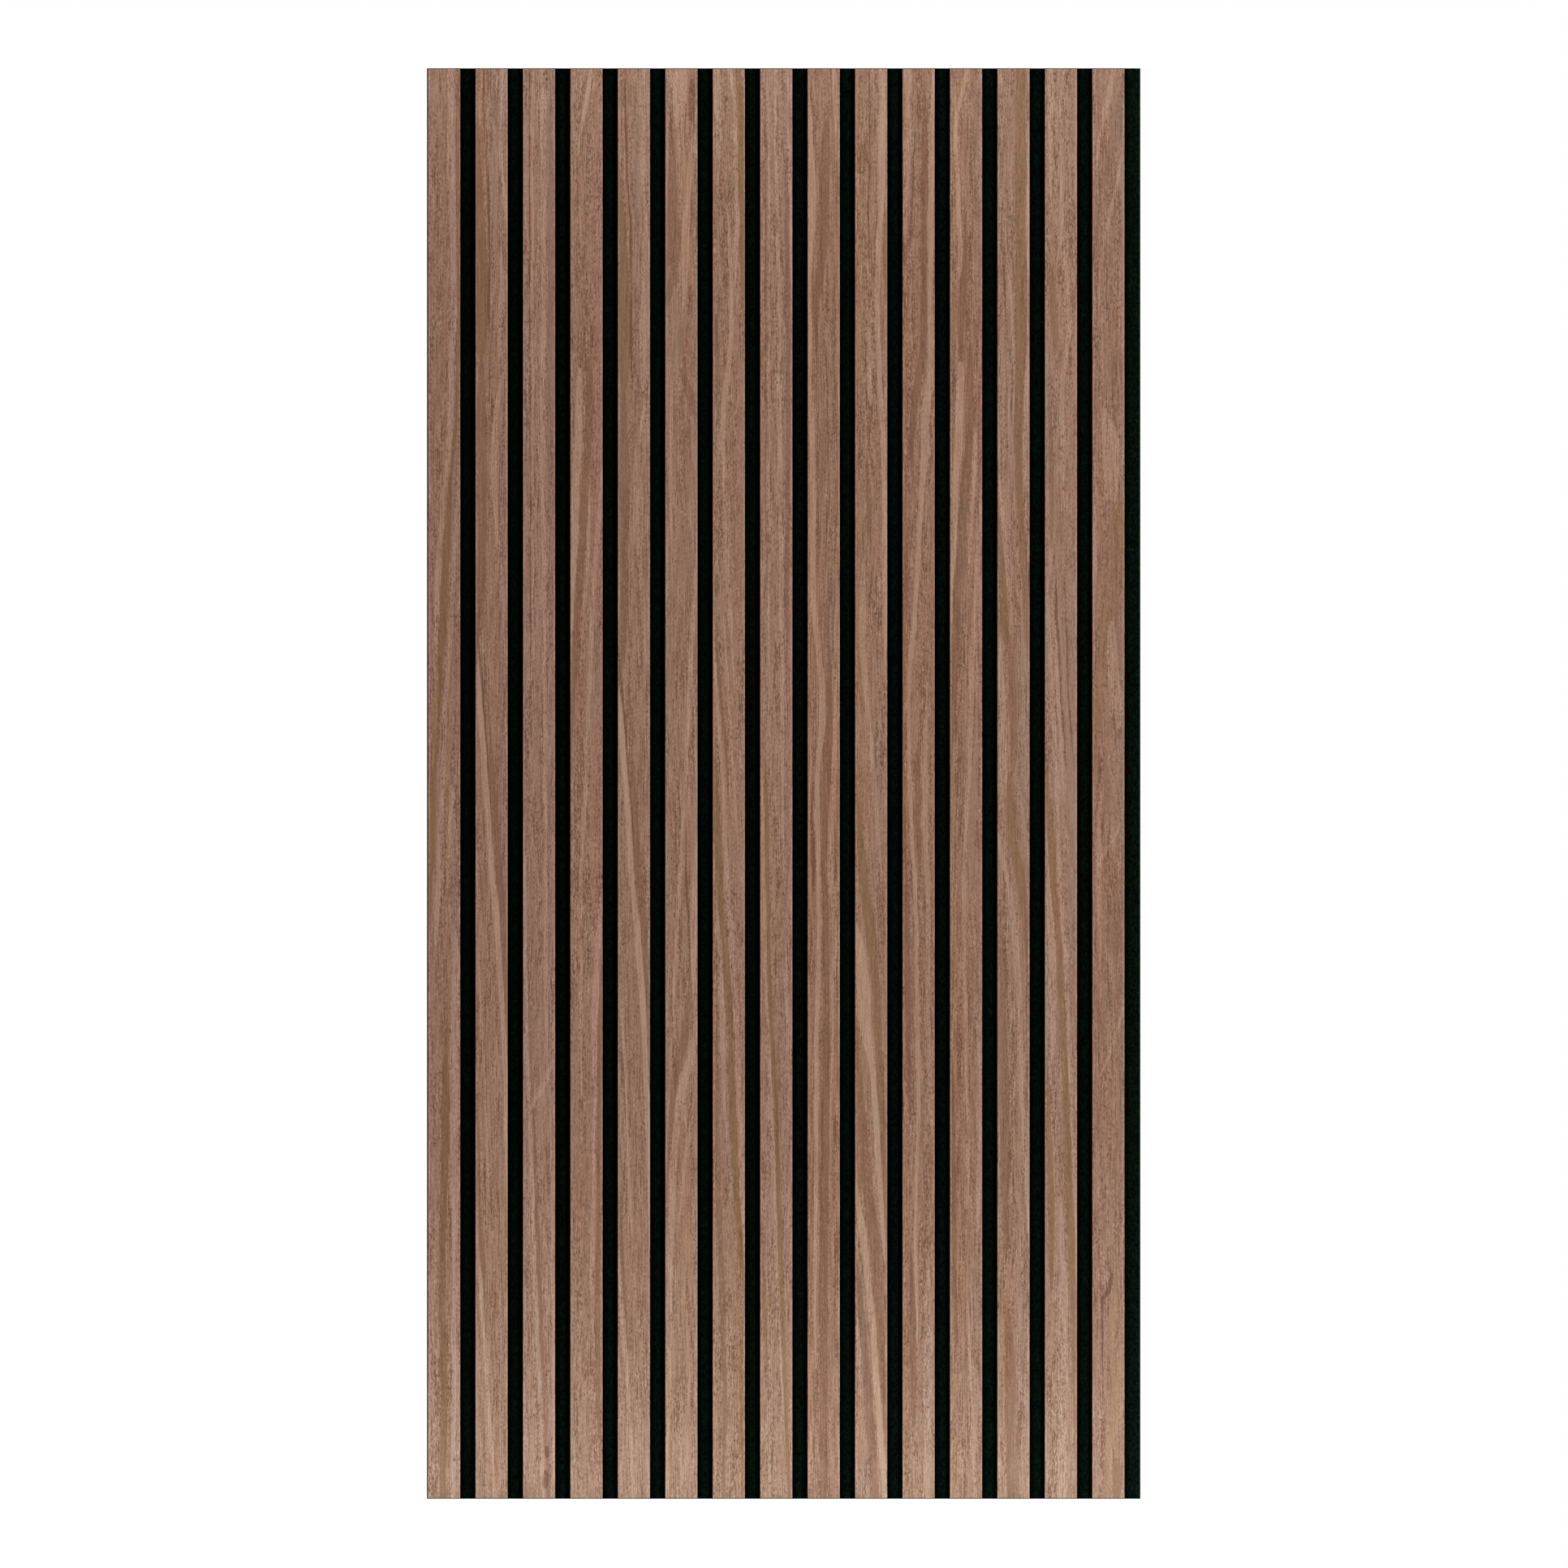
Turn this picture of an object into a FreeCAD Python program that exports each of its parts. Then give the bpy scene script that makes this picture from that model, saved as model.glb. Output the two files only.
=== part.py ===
import FreeCAD, Part
import os

# Acoustic slat wall panel, upright as it hangs on a wall.
# Slats of black-dyed fibreboard, each faced with walnut veneer, are glued side by side on a board
# of black needle felt, and stapled to it from behind through the felt.
# Sizes are in millimetres. X runs across the panel, Z is up, and the slats face towards -Y.
# The origin is the centre of the back face, which lies on the wall.

# Slats
slat_count = 15
slat_width = 27.0
slat_gap = 13.0
slat_end_inset = 0.6
core_thickness = 11.4
veneer_thickness = 0.6
veneer_edge_radius = 0.35

# Felt board, with a narrow margin on the left and a lip on the right for the next panel
felt_height = 1206.0
felt_thickness = 9.0
felt_left_margin = 1.0
felt_right_lip = 13.5

# Staples: rows across the panel, one staple on the middle of each slat
staple_rows = 4
staple_row_end_distance = 75.0
staple_crown_length = 12.8
staple_wire_width = 0.95
staple_wire_thickness = 0.65
staple_crown_sink = 0.6
staple_bite = 5.5
dimple_reach = 2.0

# Sizes that follow from those above
slat_pitch = slat_width + slat_gap
slat_length = felt_height - 2 * slat_end_inset
slats_across = slat_count * slat_width + (slat_count - 1) * slat_gap
felt_width = felt_left_margin + slats_across + felt_right_lip
felt_left = -felt_width / 2
felt_bottom = -felt_height / 2
slat_bottom = felt_bottom + slat_end_inset
felt_front = -felt_thickness
core_front = felt_front - core_thickness
veneer_front = core_front - veneer_thickness
staple_tip = felt_front - staple_bite
staple_row_pitch = (slat_length - 2 * staple_row_end_distance) / (staple_rows - 1)


def slat_left(number):
    """X of the left edge of a slat, counted from 1 at the left."""
    return felt_left + felt_left_margin + (number - 1) * slat_pitch


def slat_middle(number):
    return slat_left(number) + slat_width / 2


def staple_row_heights():
    lowest = slat_bottom + staple_row_end_distance
    return [lowest + row * staple_row_pitch for row in range(staple_rows)]


def face_from(edges):
    return Part.Face(Part.Wire(edges))


def line(start, end):
    return Part.LineSegment(start, end).toShape()


def rounded_corner(corner_x, corner_y, radius, side_x, side_y):
    """Arc round an outer corner: from the side at corner_x to the side at corner_y.

    side_x and side_y are +1 or -1 and point from the arc's centre to the corner.
    """
    centre = FreeCAD.Vector(corner_x - side_x * radius, corner_y - side_y * radius, 0)
    diagonal = radius / 2 ** 0.5
    on_side = centre + FreeCAD.Vector(side_x * radius, 0, 0)
    middle = centre + FreeCAD.Vector(side_x * diagonal, side_y * diagonal, 0)
    on_end = centre + FreeCAD.Vector(0, side_y * radius, 0)
    return Part.Arc(on_side, middle, on_end).toShape()


def end_points(edge):
    return edge.valueAt(edge.FirstParameter), edge.valueAt(edge.LastParameter)


def standing(profile, bottom, height):
    """Solid from a profile drawn in the XY plane, standing on the height given as bottom."""
    solid = profile.extrude(FreeCAD.Vector(0, 0, height))
    solid.translate(FreeCAD.Vector(0, 0, bottom))
    return solid


# Staple: crown in the felt's back, two legs with bevelled points.
# Each bend is one flat, set so that the wire is as thick across the corner as along its legs.
def staple(middle_x, middle_z):
    left = middle_x - staple_crown_length / 2
    right = middle_x + staple_crown_length / 2
    inner_left = left + staple_wire_thickness
    inner_right = right - staple_wire_thickness
    crown_back = -staple_crown_sink
    crown_front = crown_back - staple_wire_thickness
    bend = (2 - 2 ** 0.5) * staple_wire_thickness
    bevel_start = staple_tip + staple_wire_thickness
    outline = [
        (left, crown_back - bend),
        (left + bend, crown_back),
        (right - bend, crown_back),
        (right, crown_back - bend),
        (right, staple_tip),
        (inner_right, bevel_start),
        (inner_right, crown_front),
        (inner_left, crown_front),
        (inner_left, bevel_start),
        (left, staple_tip),
    ]
    corners = [FreeCAD.Vector(x, y, 0) for x, y in outline]
    profile = Part.Face(Part.makePolygon(corners + corners[:1]))
    return standing(profile, middle_z - staple_wire_width / 2, staple_wire_width)


# Dimple that the crown draws into the felt's back: wide at the surface, crown size at its floor
def dimple(middle_x, middle_z):
    half_crown = staple_crown_length / 2
    half_wire = staple_wire_width / 2
    floor = -staple_crown_sink - staple_wire_thickness
    mouth_x = half_crown + dimple_reach
    mouth_z = half_wire + dimple_reach
    wedge = Part.makeWedge(
        -half_crown, floor, -half_wire, -mouth_z, -mouth_x,
        half_crown, 0, half_wire, mouth_z, mouth_x,
    )
    wedge.translate(FreeCAD.Vector(middle_x, 0, middle_z))
    return wedge


# Slat core: fibreboard strip, cut by the staples that bite into it
def slat_core(number, staples):
    size_x, size_y, size_z = slat_width, core_thickness, slat_length
    corner = FreeCAD.Vector(slat_left(number), core_front, slat_bottom)
    strip = Part.makeBox(size_x, size_y, size_z, corner)
    return strip.cut(staples)


# Slat veneer: thin strip over the core's front face, its two long edges eased
def slat_veneer(number):
    left = slat_left(number)
    right = left + slat_width
    left_edge = rounded_corner(left, veneer_front, veneer_edge_radius, -1, -1)
    right_edge = rounded_corner(right, veneer_front, veneer_edge_radius, 1, -1)
    left_side, front_left = end_points(left_edge)
    right_side, front_right = end_points(right_edge)
    back_left = FreeCAD.Vector(left, core_front, 0)
    back_right = FreeCAD.Vector(right, core_front, 0)
    profile = face_from([
        line(back_left, left_side),
        left_edge,
        line(front_left, front_right),
        right_edge,
        line(right_side, back_right),
        line(back_right, back_left),
    ])
    return standing(profile, slat_bottom, slat_length)


# Felt board, dimpled and pierced by every staple
def felt_board(staples, dimples):
    corner = FreeCAD.Vector(felt_left, felt_front, felt_bottom)
    board = Part.makeBox(felt_width, felt_thickness, felt_height, corner)
    return board.cut(dimples).cut(staples)


def save(node, shape):
    shape.exportStep(os.path.join("parts", node + ".step"))


os.makedirs("parts", exist_ok=True)

all_staples = []
all_dimples = []
for number in range(1, slat_count + 1):
    column = [staple(slat_middle(number), height) for height in staple_row_heights()]
    all_staples += column
    all_dimples += [dimple(slat_middle(number), height) for height in staple_row_heights()]
    save(f"slat_core_{number:02d}", slat_core(number, Part.makeCompound(column)))
    save(f"slat_veneer_{number:02d}", slat_veneer(number))

save("felt_backing", felt_board(Part.makeCompound(all_staples), Part.makeCompound(all_dimples)))
save("staples", Part.makeCompound(all_staples))
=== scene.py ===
import math

import bpy
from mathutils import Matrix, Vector


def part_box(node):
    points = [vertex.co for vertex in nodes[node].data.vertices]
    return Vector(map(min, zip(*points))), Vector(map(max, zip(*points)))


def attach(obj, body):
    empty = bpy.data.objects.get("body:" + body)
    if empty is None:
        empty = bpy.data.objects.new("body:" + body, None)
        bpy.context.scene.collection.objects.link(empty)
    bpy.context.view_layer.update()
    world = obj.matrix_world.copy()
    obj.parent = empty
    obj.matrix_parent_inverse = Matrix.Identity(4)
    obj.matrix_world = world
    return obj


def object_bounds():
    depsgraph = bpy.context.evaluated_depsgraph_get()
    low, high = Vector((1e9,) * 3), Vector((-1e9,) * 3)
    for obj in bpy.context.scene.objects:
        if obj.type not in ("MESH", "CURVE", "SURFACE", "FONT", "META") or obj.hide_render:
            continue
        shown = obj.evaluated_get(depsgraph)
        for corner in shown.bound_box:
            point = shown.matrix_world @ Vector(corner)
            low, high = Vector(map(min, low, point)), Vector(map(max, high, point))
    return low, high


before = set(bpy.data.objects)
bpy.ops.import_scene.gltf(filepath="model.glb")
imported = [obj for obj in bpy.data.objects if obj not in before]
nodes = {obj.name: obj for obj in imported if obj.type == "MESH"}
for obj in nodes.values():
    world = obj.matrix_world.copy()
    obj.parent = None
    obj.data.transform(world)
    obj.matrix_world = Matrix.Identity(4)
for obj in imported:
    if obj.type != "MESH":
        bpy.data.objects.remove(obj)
cad_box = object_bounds()


# Felt board
# One sheet of black polyester felt, 9 mm thick, needled from loose fibre and cut square.
# The slats are glued to its front; it shows in the grooves, on the right-hand lip and at the back.

MM = 0.001


def colour(hex_code):
    """Linear red, green, blue and alpha from an sRGB hex code."""
    channels = [int(hex_code[i:i + 2], 16) / 255 for i in (0, 2, 4)]
    linear = [c / 12.92 if c <= 0.04045 else ((c + 0.055) / 1.055) ** 2.4 for c in channels]
    return (*linear, 1)


def add(material, kind, inputs, **settings):
    """Adds a shader node. inputs maps a socket's name or number to its value or to what feeds it."""
    tree = material.node_tree
    node = tree.nodes.new("ShaderNode" + kind)
    for name, value in settings.items():
        setattr(node, name, value)
    for key, value in inputs.items():
        socket = node.inputs[key]
        if isinstance(key, str):
            socket = next(s for s in node.inputs if s.enabled and s.name == key)
        if isinstance(value, bpy.types.Node):
            value = next(s for s in value.outputs if s.enabled)
        if isinstance(value, bpy.types.NodeSocket):
            tree.links.new(value, socket)
        else:
            socket.default_value = value
    return node


def blank_material(name):
    """An empty material, and a node that gives the place on the panel in millimetres."""
    material = bpy.data.materials.new(name)
    material.use_nodes = True
    material.node_tree.nodes.clear()
    metres = add(material, "TexCoord", {}).outputs["Object"]
    place = add(material, "VectorMath", {0: metres, 1: (1 / MM, 1 / MM, 1 / MM)}, operation="MULTIPLY")
    return material, place


# Each seed reads the noise in a place of its own, this far on from the seed before
seed_step = Vector((17.3, 5.9, 41.7))


def patches(material, place, size, seed, turn=0.0, detail=2.0):
    """Soft random patches from 0 to 1, about 0.5. size is their size in millimetres along X, Y and Z."""
    shift = seed_step * seed
    scaled = add(material, "Mapping", {
        "Vector": place, "Location": shift, "Rotation": (0, turn, 0), "Scale": [1 / s for s in size],
    })
    return add(material, "TexNoise", {"Vector": scaled, "Scale": 1.0, "Detail": detail})


slat_count = sum(name.startswith("slat_core") for name in nodes)
slat_pitch = 40.0
half_slat = 13.5
middle_of_first = (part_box("slat_core_01")[0][0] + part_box("slat_core_01")[1][0]) / 2 / MM
felt_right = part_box("felt_backing")[1][0] / MM
felt_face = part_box("felt_backing")[0][1] / MM


def black_needle_felt():
    """Matt, nearly black with a green cast. Short fibres lie every way, and the needles leave fine pits."""
    material, place = blank_material("black_needle_felt")
    fibre_length, fibre_width = 7.0, 0.6
    fibre_turns = (0.35, 1.25, 2.2, 2.9)
    strands = None
    for seed, turn in enumerate(fibre_turns, 1):
        lie = patches(material, place, (fibre_width, fibre_width, fibre_length), seed, turn, detail=1.0)
        strand = add(material, "MapRange", {"Value": lie, "From Min": 0.5, "From Max": 0.75})
        strands = strand if strands is None else add(
            material, "Math", {0: strands, 1: strand}, operation="MAXIMUM")
    pit_spacing, pit_radius = 2.4, 0.84
    pits = add(material, "TexVoronoi", {"Vector": place, "Scale": 1 / pit_spacing})
    pit = add(material, "MapRange", {"Value": pits, "From Min": 0.0, "From Max": pit_radius / pit_spacing})
    clumps = patches(material, place, (9, 9, 14), 9)
    share = add(material, "Math", {0: strands, 1: clumps}, operation="MULTIPLY")
    fibre = add(material, "Mix", {
        "Factor": share, "A": colour("040b06"), "B": colour("111d14")}, data_type="RGBA")
    # Painted shade: the needle pits are darker
    fibre_with_pit_shade = add(material, "Mix", {"Factor": pit, "A": colour("020403"), "B": fibre}, data_type="RGBA")

    # Painted shade: a narrow band along the foot of each slat, on the front only, is darker than the open
    # felt
    shade_full_to, shade_clear_from, foot_shade_level = 2.0, 4.6, 0.42
    split = add(material, "SeparateXYZ", {"Vector": place})
    across = split.outputs["X"]
    from_first = add(material, "Math", {0: across, 1: middle_of_first}, operation="SUBTRACT")
    before_lip = add(material, "Math", {
        0: from_first, 1: (slat_count - 0.5) * slat_pitch}, operation="MINIMUM")
    from_slat = add(material, "Math", {0: before_lip, 1: slat_pitch / 2}, operation="PINGPONG")
    out_of_foot_shade = add(material, "MapRange", {
        "Value": from_slat, "From Min": half_slat + shade_full_to, "From Max": half_slat + shade_clear_from,
        "To Min": foot_shade_level})
    behind_front = add(material, "MapRange", {
        "Value": split.outputs["Y"], "From Min": felt_face + 0.1, "From Max": felt_face + 0.5})
    unshaded = add(material, "Math", {0: out_of_foot_shade, 1: behind_front}, operation="MAXIMUM")

    # The cut edge of the lip is teased up by the knife; a painted highlight makes its last few millimetres
    # lighter
    lip_edge_highlight = add(material, "MapRange", {
        "Value": across, "From Min": felt_right - 5.0, "From Max": felt_right - 0.5, "To Max": 0.25})
    # Painted shade at the slats' feet and the painted highlight at the lip's edge, together
    light_and_rubs = add(material, "Math", {0: unshaded, 1: lip_edge_highlight}, operation="ADD")

    # A strap round the stacked panels has rubbed faint pale lines across the felt, right of the middle
    strap_height, strap_from, strap_fade = 197.4, 120.0, 12.0
    from_strap = add(material, "Math", {0: split.outputs["Z"], 1: strap_height}, operation="SUBTRACT")
    off_strap = add(material, "Math", {0: from_strap}, operation="ABSOLUTE")
    under_strap = add(material, "MapRange", {
        "Value": off_strap, "From Min": 0.2, "From Max": 0.9, "To Min": 1.0, "To Max": 0.0})
    right_part = add(material, "MapRange", {
        "Value": across, "From Min": strap_from, "From Max": strap_from + strap_fade})
    snags = patches(material, place, (11, 30, 30), 12)
    snagged = add(material, "MapRange", {"Value": snags, "From Min": 0.45, "From Max": 0.6, "To Max": 1.6})
    crossed = add(material, "Math", {0: under_strap, 1: right_part}, operation="MULTIPLY")
    # The strap's rub marks join the painted shade and painted highlight
    light_and_rubs = add(material, "Math", {0: crossed, 1: snagged, 2: light_and_rubs}, operation="MULTIPLY_ADD")

    # Nap: tufts about 2 mm across catch more or less light. Painted light makes the felt a little paler to
    # the right, and painted shade makes the lip darker again
    tuft = 2.1
    tufts = patches(material, place, (tuft, tuft, tuft), 14, detail=1.0)
    nap = add(material, "MapRange", {
        "Value": tufts, "From Min": 0.3, "From Max": 0.7, "To Min": 0.35, "To Max": 1.6})
    # Painted light: paler towards the right
    painted_light_to_right = add(material, "MapRange", {
        "Value": across, "From Min": -felt_right, "From Max": felt_right, "To Min": 0.88, "To Max": 1.34})
    # Painted shade: darker over the lip
    painted_lip_shade = add(material, "MapRange", {
        "Value": across, "From Min": felt_right - 38.0, "From Max": felt_right - 12.0,
        "To Min": 1.0, "To Max": 0.74})
    painted_light_across = add(material, "Math", {0: painted_light_to_right, 1: painted_lip_shade}, operation="MULTIPLY")
    shade = add(material, "Math", {0: nap, 1: painted_light_across}, operation="MULTIPLY")
    # The painted light and shade, the nap and the rub marks all scale the felt's colour
    light_and_marks = add(material, "Math", {0: shade, 1: light_and_rubs}, operation="MULTIPLY")
    felt_colour_with_painted_light = add(material, "VectorMath", {0: fibre_with_pit_shade, "Scale": light_and_marks}, operation="SCALE")
    relief = add(material, "Math", {0: strands, 1: pit}, operation="MULTIPLY")
    bump = add(material, "Bump", {"Height": relief, "Strength": 0.6, "Distance": 0.4 * MM})
    shader = add(material, "BsdfPrincipled", {
        "Base Color": felt_colour_with_painted_light, "Roughness": 1.0, "Specular IOR Level": 0.0, "Normal": bump,
        "Sheen Weight": 0.012, "Sheen Roughness": 0.6,
    })
    add(material, "OutputMaterial", {"Surface": shader})
    return material


nodes["felt_backing"].material_slots[0].material = black_needle_felt()


# Slat cores
# Strips of medium-density fibreboard, dyed black right through, ripped from a board by a multi-blade saw.
# Their sides and ends are bare: a dull charcoal with short paler fibres, and faint marks of the saw.

def black_dyed_fibreboard():
    """Matt charcoal of pressed wood fibre. The dye leaves single fibres browner and paler."""
    material, place = blank_material("black_dyed_fibreboard")
    fibre_width, fibre_length = 0.5, 1.8
    fleck = patches(material, place, (fibre_width, fibre_width, fibre_length), 3, detail=3.0)
    pale = add(material, "MapRange", {"Value": fleck, "From Min": 0.55, "From Max": 0.8})
    body = add(material, "Mix", {
        "Factor": pale, "A": colour("121110"), "B": colour("3a332d")}, data_type="RGBA")
    saw_mark_spacing, saw_slant = 1.8, 0.08
    marks = patches(material, place, (40, 6, saw_mark_spacing), 5, turn=saw_slant)
    relief = add(material, "Math", {0: marks, 1: fleck}, operation="ADD")
    bump = add(material, "Bump", {"Height": relief, "Strength": 0.35, "Distance": 0.15 * MM})
    shader = add(material, "BsdfPrincipled", {
        "Base Color": body, "Roughness": 0.85, "Specular IOR Level": 0.15, "Normal": bump,
    })
    add(material, "OutputMaterial", {"Surface": shader})
    return material


fibreboard = black_dyed_fibreboard()
for number in range(1, slat_count + 1):
    nodes[f"slat_core_{number:02d}"].material_slots[0].material = fibreboard


# Slat veneers
# Sliced walnut, 0.6 mm thick, pressed on each core's face and lacquered matt; the long edges are eased.
# The leaves come from a few flitches, so some slats show the same figure twice, a little higher or lower.

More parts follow.
